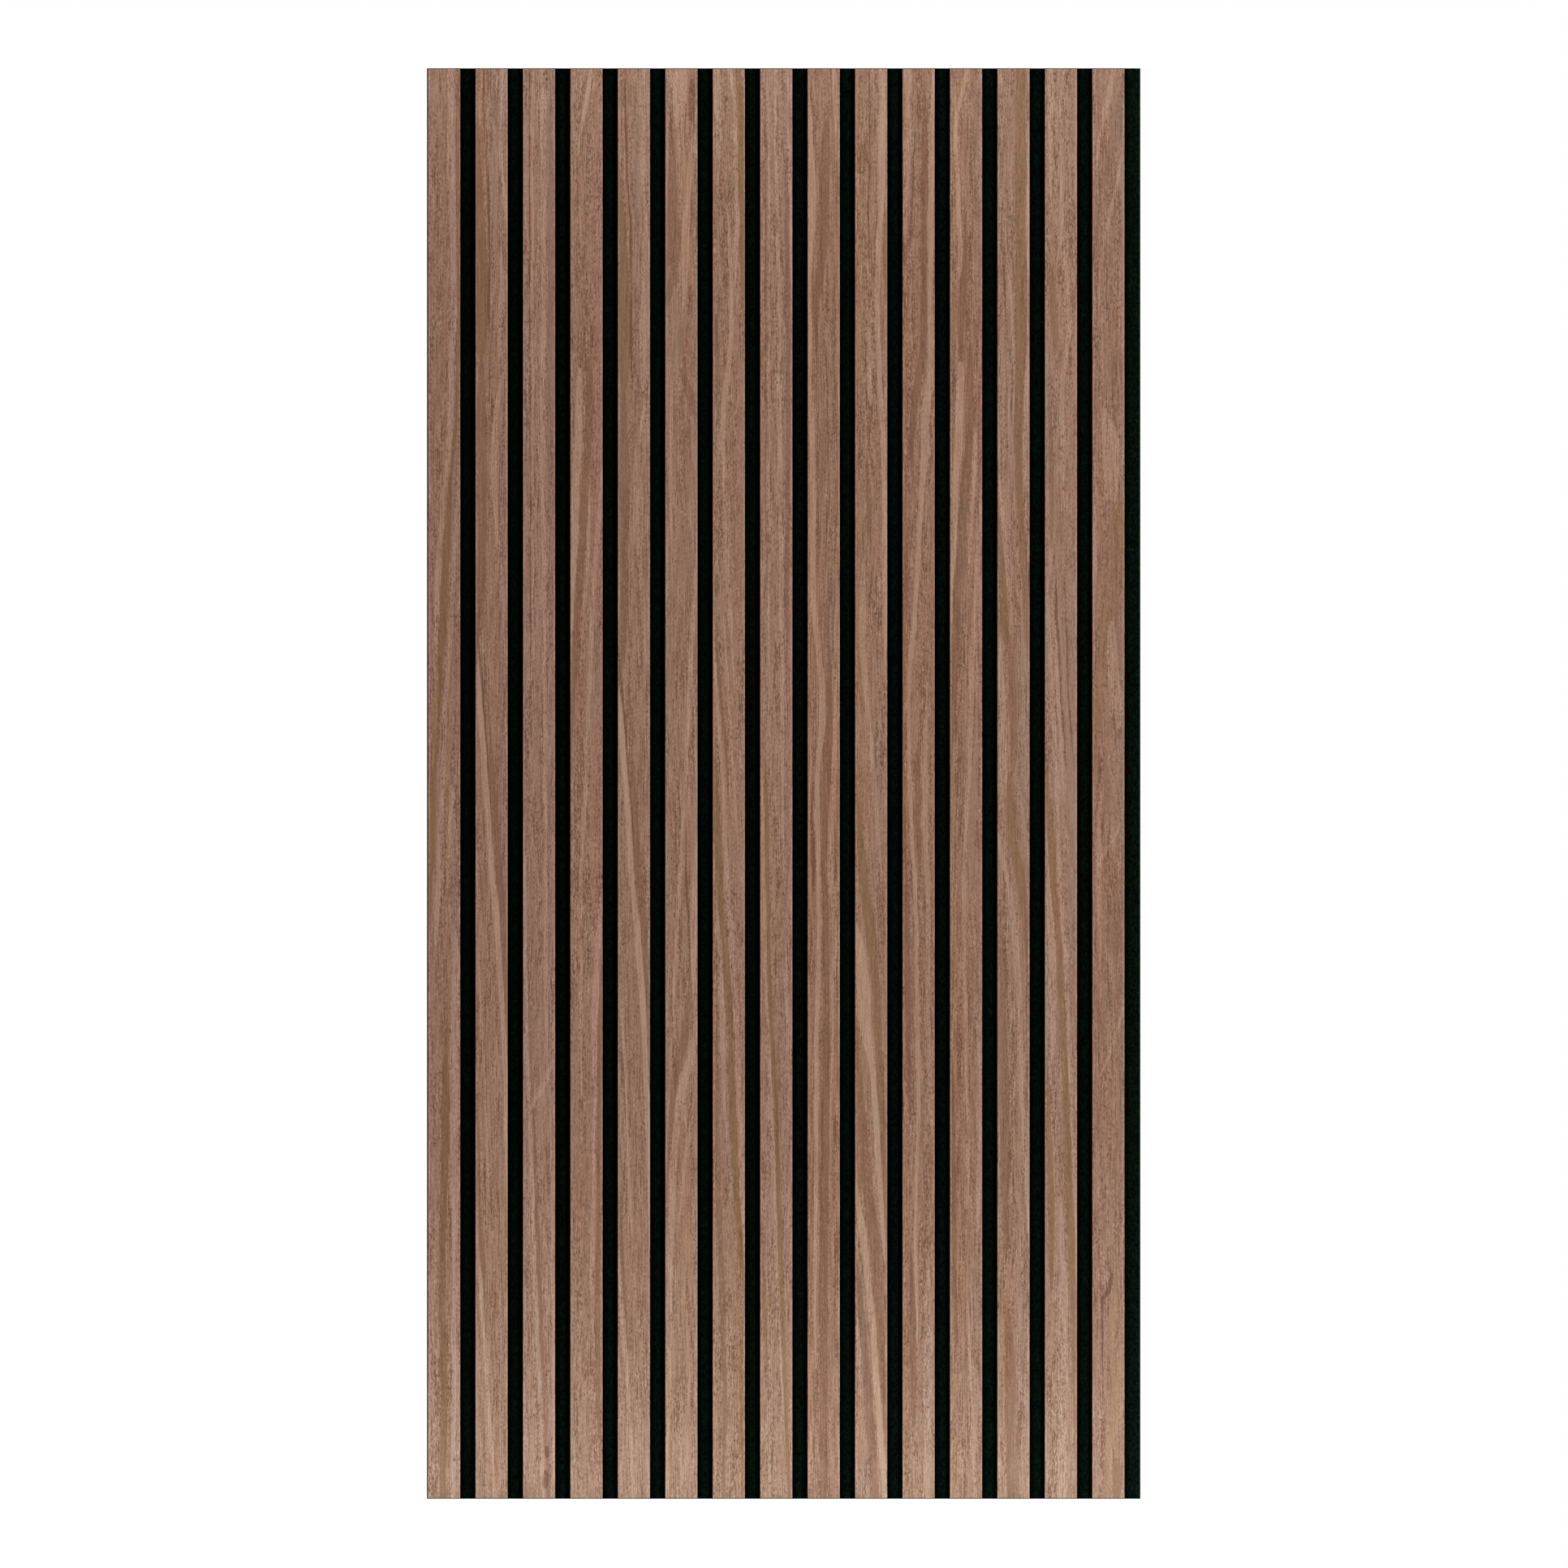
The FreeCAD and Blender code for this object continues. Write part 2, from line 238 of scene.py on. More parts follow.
# The broad streaks of each slat: a kind, then points of height, place across and width, all in
# millimetres from the slat's middle. A width below zero lets the streak run out
figures = {
    1: [
        ("pale", (602, 5.5, 6), (490, 6.5, 6), (425, 8, 5), (350, 6, 5), (295, 5, 5),
         (250, 1.5, 3.5), (205, -3, 5), (150, -6, 4), (95, -6.6, 3), (45, -8, 3), (0, -11, -1)),
        ("olive", (602, 12.5, 3), (500, 11.5, 3), (400, 12, 3), (320, 11, 3), (280, 7.5, 4),
         (240, 4, 5), (200, 2, 5.5), (150, -0.5, 6), (100, -3.5, 5), (50, -7, 5), (0, -9, 5),
         (-50, -10.5, 4), (-110, -13, 2)),
        ("pale", (260, 11, -1), (210, 9.5, 3), (150, 6.5, 3.5), (100, 3.5, 4), (60, 0.5, 4),
         (0, -0.5, 3.5), (-40, -3.5, 4), (-100, -6, 4), (-160, -8, -1)),
        ("pale", (20, 11, -1), (-30, 5.5, 3), (-60, 3.5, 3), (-105, 2.5, -1)),
        ("pink", (60, -3, -1), (0, -6, 7), (-60, -8, 9), (-140, -9, 8), (-200, -10, -1)),
        ("pale", (-120, 10, -1), (-180, 9.5, 7), (-300, 8.5, 7), (-380, 9, 5), (-480, 8.5, 4),
         (-602, 8, 4)),
        ("olive", (-200, 1.5, -1), (-260, 1, 6), (-330, 0, 6), (-410, -1.5, 5), (-500, -0.5, 6),
         (-602, -1, 5)),
    ],
    2: [
        ("olive", (570, -14, -1), (520, -11.5, 5), (475, -9.5, 8), (430, -8, 10), (385, -8, 9),
         (355, -9, -1)),
        ("vein", (640, -6.7, 1.2), (560, -6.2, 1.2), (500, -3, 1.6), (450, -2, 1.6),
         (400, -2.4, 2), (365, -1, -1)),
        ("pink", (560, 3, -1), (500, 2, 6), (440, 3, -1)),
        ("pale", (640, 9, 3), (590, 8.5, 2.4), (540, 7.5, 2.4), (505, 10, 3), (470, 13, 2)),
        ("pale", (455, 8, -1), (420, 8, 4), (380, 7, 4), (355, 9, -1)),
        ("pale", (350, 10, -1), (330, 7, 4), (300, 3, 5), (262, 2, 5), (220, 4.5, 4),
         (175, 8, 3.5), (110, 11, -1)),
        ("dark", (360, -9, -1), (310, -8.5, 8), (230, -8, 8), (150, -9, 6), (120, -10, -1)),
        ("bright", (115, -12.5, -1), (95, -11.5, 2), (60, -9.5, 4.5), (20, -6, 5.5), (-30, -3, 5),
         (-70, 0, 5), (-110, 4, 5), (-150, 7, 5), (-200, 9.5, 4.5), (-260, 11.5, 4), (-340, 14, 3)),
        ("vein", (140, -13, 1), (100, -9.5, 1.6), (50, -5.5, 1.8), (10, -2.5, 1.6), (-40, 0, 1.2),
         (-90, 3.5, -1)),
        ("dark", (60, -1, -1), (20, 0, 4), (-30, 3, 6), (-80, 7, 6), (-120, 10, 5), (-200, 13, 3)),
        ("pale", (-120, -12, -1), (-170, -10, 2), (-250, -6, 2), (-320, -3.5, 2), (-390, 0, -1)),
        ("dark", (-310, -13, -1), (-350, -11, 3), (-390, -8.5, 3), (-440, -5, -1)),
        ("pale", (-370, -13, -1), (-410, -10.5, 3), (-440, -8, 3.5), (-485, -5, 3),
         (-540, -1.5, 3), (-640, 4, 4)),
    ],
    3: [
        ("pale", (602, 3, 5), (450, 4, 5), (300, 3, 4), (100, 5, 3), (-50, 5.3, 3),
         (-200, 6.5, 2.5), (-260, 7, -1)),
        ("grey", (602, 11.5, 5), (420, 10.5, 6), (300, 10.5, 6), (200, 11, 5), (100, 12, -1)),
        ("pale", (602, -5.5, 1.4), (400, -5.5, 1.4), (200, -5, 1.2), (0, -4, -1)),
        ("vein", (602, -7.5, 0.6), (450, -8, 1), (300, -7.5, 0.6), (120, -7, 0.8), (0, -7, -1)),
        ("pale", (-20, -12.5, -1), (-90, -11.8, 2), (-180, -10.5, 2.6), (-260, -8.5, 2.4),
         (-320, -6.5, 2.6), (-400, -4, 3.5), (-500, 0, 3), (-602, 4, 3)),
        ("dark", (-60, -10.5, -1), (-180, -8.5, 1.4), (-270, -5.2, 2), (-350, -2.5, 3),
         (-400, 0, 4), (-450, 1.5, 3.5), (-510, 4.5, 3), (-602, 8, 3)),
        ("pale", (-229, 14, -1), (-240, 9, 4), (-255, 3, 5), (-271, -5, 3), (-280, -9, -1)),
        ("pale", (-250, 9, -1), (-300, 10, 2), (-400, 11, 2), (-500, 12, 2), (-602, 12, 2)),
        ("vein", (-554, 7, -1), (-562, 7, 4), (-570, 7, -1)),
        ("vein", (-578, 5.5, -1), (-587, 5.5, 5), (-596, 5.5, -1)),
    ],
    4: [
        ("bright", (640, 8, 3), (602, 3.5, 3), (580, 0.5, 3.6), (560, -3, 3.2), (545, -5.5, 2.6),
         (528, -7, -1)),
        ("bright", (492, -5, -1), (480, -5, 1.6), (460, -4.5, 1.4), (440, -4, -1)),
        ("bright", (353, -5, -1), (351, -5, 3), (345, -5.5, 4.5), (322, -5.7, 5.5),
         (280, -7.5, 5.5), (230, -9.5, 5.5), (180, -11.5, 5), (110, -14, 3)),
        ("dark", (365, 0, -1), (335, 2.5, 5.5), (280, 1, 6.5), (230, -2, 6.5), (200, -4, 6),
         (150, -7, 6), (110, -9, 5), (50, -12, 3)),
        ("pale", (285, 3, -1), (230, 2.5, 2.2), (190, 1, 2.5), (130, -3, 2), (60, -6, -1)),
        ("pale", (270, 14, 2), (220, 10, 3.5), (180, 7, 4), (130, 4.5, 3.6), (80, 2.5, 4),
         (30, 0, 4), (-30, -2.5, 3.6), (-80, -4.5, 3), (-150, -5, 3), (-220, -4.5, 2),
         (-300, -4, -1)),
        ("pink", (110, 7, -1), (50, 5.5, 5), (0, 4.5, 5), (-40, 3, 4), (-80, 2.5, -1)),
        ("pale", (-90, 12.5, -1), (-140, 9, 5), (-200, 7, 5), (-300, 7, 4), (-400, 5.5, 5),
         (-480, 5, -1)),
        ("olive", (-140, 13, -1), (-200, 11.5, 3.5), (-300, 10.2, 4.6), (-380, 9.5, 5),
         (-460, 9.5, 5), (-530, 10.5, 3)),
    ],
    6: [
        ("pale", (602, -3, 14), (575, -2, 12), (550, -2, -1)),
        ("vein", (597, 9, -1), (585, 9, 5), (570, 9, 5.5), (555, 8, -1)),
        ("pale", (550, 13, -1), (520, 8, 5), (480, 4, 6), (430, 3, 5), (395, 0, -1)),
        ("dark", (560, -10, -1), (520, -8, 7), (480, -7.5, 8), (450, -9, 6), (435, -10, -1)),
        ("dark", (480, -1, -1), (455, -3, 6), (425, -8, 6), (405, -12, 3)),
        ("grey", (405, 11, 5), (390, 5, 8), (370, -2, 9), (350, -6, -1)),
        ("dark", (352, -2, -1), (340, 3, 6), (325, 8, 8), (305, 12, 4)),
        ("pale", (350, -8, -1), (300, -8.5, 3), (240, -9, 3), (170, -8, -1)),
        ("pale", (190, 13, 3), (120, 9, 4), (60, 6, 4), (0, 3, 3), (-60, 0, 3), (-150, -5, 3),
         (-240, -8, -1)),
        ("pale", (-40, 14, -1), (-100, 11, 5), (-160, 10.5, 4), (-195, 12, 4), (-222, 10, 6),
         (-244, 3.5, 8), (-268, -1.5, 7), (-300, -4.5, 6), (-350, -8, 5), (-420, -9, 5),
         (-480, -10, 4), (-602, -12, 3)),
        ("dark", (-170, 7, -1), (-210, 3, 6), (-240, -4, 7), (-275, -8, 5), (-330, -12, 3)),
        ("vein", (-20, 5, -1), (-70, 4, 1.6), (-130, 7, 1.8), (-190, 7.5, -1)),
        ("pale", (-255, 12, -1), (-290, 7, 3), (-330, 2, 3), (-380, -3, -1)),
    ],
    7: [
        ("pale", (602, -10, 5), (560, -9, 5), (500, -9, -1)),
        ("olive", (602, 8, 5), (550, 10, 5), (500, 11, 4.5), (440, 11.5, 4), (380, 13, -1)),
        ("pale", (602, 1, 3), (560, 5, 3), (520, 6, 3), (470, 6.5, 4), (410, 5, -1)),
        ("bright", (500, -3, -1), (450, 1, 3), (400, 2.5, 3.6), (370, 1.5, 4), (330, -3, 4.6),
         (290, -5, 4), (250, -4, -1)),
        ("pale", (275, -5, -1), (240, -3.5, 4), (190, -1, 4), (130, 2, 3), (60, 6, -1)),
        ("dark", (400, -11, -1), (370, -10, 4.5), (330, -9, -1)),
        ("pale", (135, -13, 1), (80, -10.5, 2.6), (40, -7.5, 3), (0, -5, 3), (-50, -3, 4),
         (-100, 0, 4), (-150, 3, 4), (-200, 6, 4), (-260, 8.5, 4), (-320, 10.5, 4), (-380, 13, 3)),
        ("dark", (170, -11.5, -1), (120, -10, 2), (80, -7.5, 2.4), (30, -2.5, 2.8), (-30, 0.5, -1)),
        ("pale", (160, -6, -1), (100, -2, 2.6), (50, 1, 2.8), (0, 4, 2.6), (-70, 8, -1)),
        ("olive", (20, -13, 2), (-25, -10.5, 6), (-70, -8, 6.5), (-110, -6, 4.5), (-150, -2, 6),
         (-180, -0.5, 7), (-205, 1, 4.5), (-250, 2.5, 5), (-300, 4.5, 5), (-350, 7, 5),
         (-390, 10, 4), (-430, 13, 2)),
        ("dark", (-150, -12, -1), (-250, -9.5, 3), (-320, -9.5, 5), (-400, -6.5, 4.5),
         (-480, -4, 4), (-602, -4, 3)),
        ("pale", (-100, -10, -1), (-150, -7.5, 4.5), (-250, -4, 3.5), (-330, 0, -1)),
        ("olive", (-430, 12.5, -1), (-500, 11, 3), (-602, 12, 2)),
    ],
    8: [
        ("pale", (602, -1, 2.5), (400, 2, 3), (250, 3.5, 4), (100, 5, 3), (0, 5.5, 2.6),
         (-120, 6, -1)),
        ("vein", (602, -9, 0.8), (400, -9, 1), (250, -8.5, 0.8), (60, -8, -1)),
        ("pale", (602, -6.2, 1.2), (350, -6, 1.4), (100, -6, 1), (0, -6, -1)),
        ("dark", (560, 8, -1), (450, 9, 3.5), (300, 10, 4), (150, 9, 3), (50, 9, -1)),
        ("pale", (602, 9.5, 1.6), (540, 10.7, 1.8), (480, 12, 2.2), (400, 13.5, 2)),
        ("pale", (30, -13, -1), (-30, -11.2, 2.2), (-100, -10, 2.6), (-150, -9, 2.6),
         (-200, -7, 2.6), (-250, -5, 2.6), (-300, -3, 3), (-350, -1, 2.6), (-400, 0.5, 2.6),
         (-450, 3, 2.2), (-500, 5, 2), (-602, 10, -1)),
        ("olive", (30, -10, -1), (-30, -8.5, 4), (-100, -7.5, 4), (-180, -5, 3.5),
         (-250, -1.5, 4), (-320, 1, 4), (-380, 2.7, 4), (-450, 5.2, 3.6), (-500, 7.5, 3.6),
         (-602, 11, 3)),
        ("dark", (-350, -13, -1), (-400, -11.5, 3), (-460, -9, 3), (-520, -6, -1)),
        ("pale", (-120, 8, -1), (-170, 8.7, 2.2), (-220, 9.7, 2), (-300, 13, -1)),
    ],
    9: [
        ("bright", (595, -13, -1), (540, -10.7, 4), (490, -9.3, 6), (450, -11, 4), (400, -12, 3),
         (350, -11.5, 3), (300, -10, 4), (250, -9, 5), (180, -9, 5), (140, -7, 4.5), (100, -3, 5),
         (70, -1, 6), (40, -2, 5), (0, -5, 4), (-100, -4, 4), (-150, -4, 4), (-200, -6, 3.6),
         (-300, -6.5, 3.2), (-400, -7, 3), (-520, -7, -1)),
        ("dark", (560, 2, -1), (510, 0.5, 8), (460, -0.5, 8), (425, -4, 7), (395, -7, 4),
         (350, -6, -1)),
        ("pale", (620, 9, 4), (570, 9.5, 4), (545, 9.5, -1)),
        ("dark", (130, 5, -1), (60, 4.5, 6), (0, 3, 7), (-60, 1, 5), (-160, 2, 6), (-260, 2, 7),
         (-360, 0, 7), (-480, 0, 7), (-602, 0, 6)),
        ("pale", (-100, 12, -1), (-150, 9, 3), (-200, 7.5, 3), (-260, 6, 2.8), (-340, 7, -1)),
        ("vein", (-15, -10, -1), (-50, -9.5, 3), (-100, -9, -1)),
        ("pale", (220, 11, -1), (100, 10, 3), (20, 9, 4), (-50, 6, 5), (-110, 7, -1)),
    ],
    10: [
        ("vein", (602, -2, 1.4), (540, -1, 1.6), (490, -2, 1.4), (420, -1, -1)),
        ("bright", (602, 9, 5), (550, 9, 6), (500, 8.5, 5), (450, 6, 4.6), (410, 5, 4.4),
         (370, 6.2, 4), (320, 8.5, 4), (250, 11, 3.6), (150, 11.7, 3.6), (80, 12.5, -1)),
        ("olive", (485, 13, -1), (455, 12.2, 3.5), (425, 12.5, 3.5), (405, 13, -1)),
        ("pale", (385, -2, -1), (345, -1, 4.4), (315, 0, -1)),
        ("dark", (290, -3.5, -1), (240, -2.5, 3), (195, 0, -1)),
        ("pale", (192, -7, -1), (165, -7, 5), (120, -7, 6), (90, -5, 5), (60, -3, 4), (20, 1, 4),
         (-20, 4, 4), (-90, 10, -1)),
        ("olive", (20, -13, -1), (-40, -9.5, 5), (-90, -5, 8), (-120, -1, 9), (-160, 3, 7),
         (-200, 5.3, 6.5), (-250, 7.7, 6), (-300, 9.7, 5), (-370, 13.5, 3)),
        ("bright", (-116, -12.5, -1), (-126, -11, 4), (-150, -8, 9), (-180, -6.5, 11),
         (-210, -4, 9), (-240, 0.5, 5), (-280, 4.3, 5), (-320, 6.5, 5), (-360, 9, 4),
         (-420, 12.5, -1)),
        ("dark", (-190, -13, -1), (-240, -10.5, 5), (-300, -6, 8), (-340, -3, 9), (-380, 2, 9),
         (-420, 5.5, 8), (-480, 9, 6), (-540, 12, 3)),
        ("bright", (-330, -13.5, -1), (-352, -11, 4), (-390, -6, 6), (-420, -2.5, 5),
         (-450, 1, 5), (-500, 4, 5), (-545, 7.5, 5), (-602, 12, 3)),
        ("dark", (-400, -12, -1), (-440, -9, 6), (-480, -5.5, 7), (-530, -1.5, 7), (-602, 4, 6)),
        ("pale", (-440, -12, -1), (-480, -10.7, 3), (-530, -9, -1)),
    ],
    11: [
        ("bright", (620, 13, 2), (550, 11, 4), (480, 10, 5), (420, 9.7, 5), (360, 10, 5),
         (335, 9, 6), (310, 5.8, 7.5), (280, 5, 7), (250, 2.5, 5), (200, 0.5, 4), (160, -2.5, 4),
         (120, -5, 4), (80, -8, 3), (30, -8, 3), (-20, -6.5, 3.6), (-60, -5, 3.6),
         (-100, -2.5, 3), (-150, -1.5, 3), (-220, -0.5, 4), (-250, 0, 4), (-300, -1, 3),
         (-350, -2, 2.6), (-420, -2, 2.6), (-500, 1, -1)),
        ("pale", (602, -9, 6), (555, -8.5, 5), (510, -10, 5), (440, -11.5, -1)),
        ("vein", (560, -3, -1), (500, -5, 1.8), (430, -8, -1)),
        ("dark", (602, 5, -1), (520, 5, 6), (430, 5, 6.5), (375, 4, 6), (340, -1, 6),
         (305, -4.5, 5), (250, -7, -1)),
        ("pale", (90, 8, -1), (0, 6, 5), (-60, 6.5, 4), (-120, 8, 4), (-180, 7.5, 4),
         (-240, 9.2, 5), (-300, 11, -1)),
        ("dark", (40, 0, -1), (0, -0.5, 4.5), (-40, 0, 4.5), (-80, 2, -1)),
        ("dark", (250, -12, -1), (180, -11, 4), (80, -13, 2), (-50, -12, 3), (-180, -9, 5),
         (-300, -7.5, -1)),
        ("dark", (-380, -7, -1), (-450, -5, 5), (-510, -4, 4), (-550, -3, -1)),
        ("pale", (-390, 9, -1), (-450, 8, 6), (-520, 8, 7), (-602, 7, 8)),
    ],
    12: [
        ("bright", (620, 4, 3), (590, -1.5, 3.4), (568, -6.5, 3.2), (550, -8.7, 3),
         (520, -7.7, 3), (480, -6.5, 3.8), (445, -5, 4.2), (425, -6, -1)),
        ("dark", (470, 0, -1), (440, -1, 4), (400, -4, 6), (370, -5, 4), (358, -5, -1)),
        ("bright", (358, -4, -1), (356, -4, 3), (350, -4.2, 5.5), (325, -5, 7), (295, -6, 7),
         (250, -9, 5), (200, -10.5, 4), (140, -12.7, 2)),
        ("dark", (375, 4, -1), (345, 3.5, 5), (300, 3, 6.5), (265, 0.5, 7), (230, -2.5, 7),
         (190, -5, 7), (150, -8, 6), (100, -9.3, 5), (40, -12, 3)),
        ("pale", (305, 7, -1), (262, 7.5, 4), (235, 5.5, 3), (200, 3.5, 3), (160, 2.5, -1)),
        ("pale", (265, 14, -1), (200, 10.3, 4), (150, 7.7, 4), (100, 5.5, 4.5), (50, 3.5, 4),
         (0, 2, 4), (-30, 0.2, 4), (-80, -1.5, 3.6), (-150, -1.5, 3), (-220, 0, 3),
         (-300, 1.5, 3), (-360, 2, -1)),
        ("pink", (80, 9, -1), (0, 7.5, 6), (-40, 5.3, 6), (-100, 4, -1)),
        ("pale", (-170, 11, -1), (-230, 10.7, 3), (-350, 10, 3), (-430, 10, -1)),
        ("pale", (-430, 1, -1), (-470, 2.5, 3), (-520, 4.5, 2.6), (-602, 8, 3)),
        ("dark", (-200, -11, -1), (-320, -10.5, 4), (-420, -9, 3), (-520, -7, -1)),
    ],
    13: [
        ("olive", (620, 6, 8), (500, 6, 9), (400, 6.5, 9), (350, 5.5, 8), (300, 4.2, 7),
         (250, 4.7, 6), (200, 8, 6), (150, 10.5, 5), (100, 13, -1)),
        ("pale", (485, -8, -1), (440, -5.5, 2), (400, -1, 2.2), (350, 0, 2), (260, 0, -1)),
        ("pale", (540, 13, -1), (470, 12, 3), (400, 13.5, -1)),
        ("pale", (375, 12, -1), (330, 10.7, 4), (270, 9.7, 4), (215, 12, -1)),
        ("pale", (265, -12, -1), (205, -7, 4), (170, -4, 3), (100, 0.5, -1)),
        ("olive", (240, -13, -1), (190, -10.7, 5), (160, -8.5, 7), (140, -7.5, 7), (115, -6, -1)),
        ("dark", (135, -6, -1), (100, -2.5, 5), (60, 0, 6), (25, 0, 5), (5, -2, -1)),
        ("olive", (12, -2.5, -1), (-10, -2.5, 7), (-40, -1.5, 7), (-60, 2, 8), (-80, 6, 8),
         (-110, 9.5, 6), (-170, 12.5, -1)),
        ("pale", (-40, -13, -1), (-65, -9, 4), (-90, -3, 4), (-120, 0.5, 5), (-160, 3.5, 5),
         (-200, 5.5, 5), (-235, 5.7, 5), (-280, 8, 4), (-320, 10, 3), (-380, 13, 2)),
        ("pale", (130, -12, -1), (60, -9, 6), (10, -8.5, 6), (-25, -11, -1)),
        ("pink", (150, 7, -1), (60, 9, 7), (0, 8, 7), (-50, 10, -1)),
        ("dark", (-90, -12, -1), (-160, -10, 6), (-230, -9, 8), (-320, -7, 8), (-400, -6, -1)),
        ("straw", (-440, -13, -1), (-475, -11, 5), (-520, -11.7, 4), (-590, -13, -1)),
        ("dark", (-440, -5, -1), (-480, -3, 8), (-540, -1, 11), (-602, 0, 10)),
    ],
    14: [
        ("olive", (40, -13.5, -1), (-20, -10, 4), (-60, -7.5, 6), (-100, -5, 5.5), (-150, -1, 5),
         (-200, 1.5, 6), (-250, 3.5, 5), (-300, 5.5, 6), (-350, 7.5, 6.5), (-400, 9.5, 6),
         (-450, 10.7, 5), (-500, 11.7, 4), (-602, 13, 2)),
        ("pale", (200, -12.5, -1), (140, -10, 2.4), (80, -7.5, 3.2), (30, -5, 4), (-20, -3, 4),
         (-80, -1, 3.6), (-150, 4, 3.2), (-220, 7, 3.2), (-300, 9.7, 3), (-390, 13.5, 2)),
        ("vein", (190, -5, -1), (160, -4, 1.4), (100, -1, 1.6), (50, 2, 1.6), (-10, 5.5, -1)),
        ("vein", (200, 2, -1), (120, 5, 1.4), (80, 6, 1.6), (40, 9, 1.4), (0, 11, -1)),
        ("pale", (180, -8, -1), (100, -4, 2.6), (40, -0.5, 2.2), (-30, 3, -1)),
        ("pale", (570, 1, -1), (480, 0, 3), (440, 3, 4), (410, 6, 3.6), (388, 6.5, 3.6),
         (360, 4, 4), (320, 1, 4), (280, 2, 4), (220, -1, -1)),
        ("pale", (620, -9, 4), (540, -9, 4), (470, -8, -1)),
        ("dark", (440, -9, -1), (395, -6, 6), (360, -4, -1)),
        ("dark", (330, -10.5, -1), (260, -8, 4.5), (190, -8.5, -1)),
        ("pale", (-40, -12, -1), (-120, -9, 5), (-180, -6.5, 6), (-240, -9, -1)),
        ("olive", (-230, -12, -1), (-310, -9.5, 5), (-380, -8, 5), (-440, -9, -1)),
        ("pale", (-340, -1, -1), (-420, 2, 7), (-520, 2, 8), (-602, 1, 8)),
        ("pink", (175, 3, -1), (110, 4, 17), (0, 6, 15), (-100, 9, 9), (-160, 11, -1)),
    ],
    15: [
        ("pale", (640, 12, 4), (600, 4, 4.4), (580, 0, 4.4), (560, -4, 4), (540, -8, 3),
         (510, -11, -1)),
        ("grey", (600, 9, -1), (560, 8, 9), (530, 1, 8), (500, -3, -1)),
        ("pale", (550, 13.5, -1), (500, 6, 2.4), (480, 1, 2.6), (450, -5, 2.6), (415, -8, 2),
         (380, -9, -1)),
        ("pale", (320, -4, -1), (305, -1, 9), (280, 2, 14), (250, 2, 12), (235, 0, -1)),
        ("ochre", (242, 12, -1), (224, 7, 13), (200, 5, 17), (170, 4, 16), (146, 1, 12),
         (120, -4, 8), (70, -8, 7), (25, -11, 4), (0, -12, -1)),
        ("pale", (270, -9, -1), (210, -11, 3.4), (110, -12.5, -1)),
        ("pink", (50, -2, -1), (30, 4, 10), (0, 4, 14), (-30, 5, 10), (-65, 9, -1)),
        ("pale", (-30, 11, -1), (-45, 5, 3), (-58, -3, 3), (-75, -9, -1)),
        ("pale", (140, 3, -1), (100, 4, 9), (70, 7, 8), (45, 9, -1)),
        ("pale", (0, -5, -1), (-60, -8, 5), (-100, -7, 5), (-170, -8, -1)),
        ("grey", (-92, 5, -1), (-105, 5, 9), (-125, 5, 11), (-148, 4, -1)),
        ("pale", (-180, 14, -1), (-213, 6, 2.6), (-235, -2, 2.6), (-250, -8, -1)),
        ("vein", (-408, 4, -1), (-420, 2, 3.5), (-430, -1.5, 5), (-440, -5, 2), (-480, -4.5, 1.2),
         (-520, -4, -1)),
        ("straw", (-405, 8, -1), (-430, 7, 7), (-460, 5, 13), (-500, 5, 15), (-560, 4, 14),
         (-620, 3, 13)),
        ("dark", (-566, 7, -1), (-582, 7, 7.5), (-602, 7, 5)),
    ],
}

# The fifth slat's leaf was sliced next to the second's and is laid a little lower
next_leaf_drop = 27
figures[5] = [
    (kind, *((height - next_leaf_drop, across, width) for height, across, width in points))
    for kind, *points in figures[2]
]

# What each kind of streak does: how much it lightens or darkens, how far it leans from pink to brown,
# how much of the fine grain it smooths away, as dense late wood does, and how much mineral yellow it has
streak_kinds = {
    "bright": (0.21, 0.15, 0.35, 0.0),
    "pale": (0.15, 0.05, 0.0, 0.0),
    "dark": (-0.12, 0.15, 0.5, 0.0),
    "olive": (-0.12, 0.3, 0.6, 1.0),
    "ochre": (-0.03, 0.2, 0.4, 1.0),
    "straw": (0.04, 0.15, 0.3, 0.6),
    "vein": (-0.24, 0.0, 0.0, 0.0),
    "pink": (0.02, -0.6, 0.3, 0.0),
    "grey": (-0.05, -0.8, 0.4, 0.0),
}

# Each slat's own leaf of veneer: how much lighter it is than the mean, and how much warmer
leaves = [
    (-0.025, 0.12), (-0.010, 0.20), (0.002, -0.20), (-0.018, 0.32), (0.003, 0.05),
    (0.016, 0.35), (0.0, 0.22), (0.005, 0.05), (-0.035, 0.45), (0.005, 0.40),
    (-0.031, 0.42), (-0.028, 0.35), (0.023, 0.05), (0.026, -0.10), (-0.020, 0.05),
]

# The curves that carry a streak run from 0 to 1 and stand for these distances either side of the middle
figure_reach = 20.0
figure_height = 650.0
streak_softness = 0.4


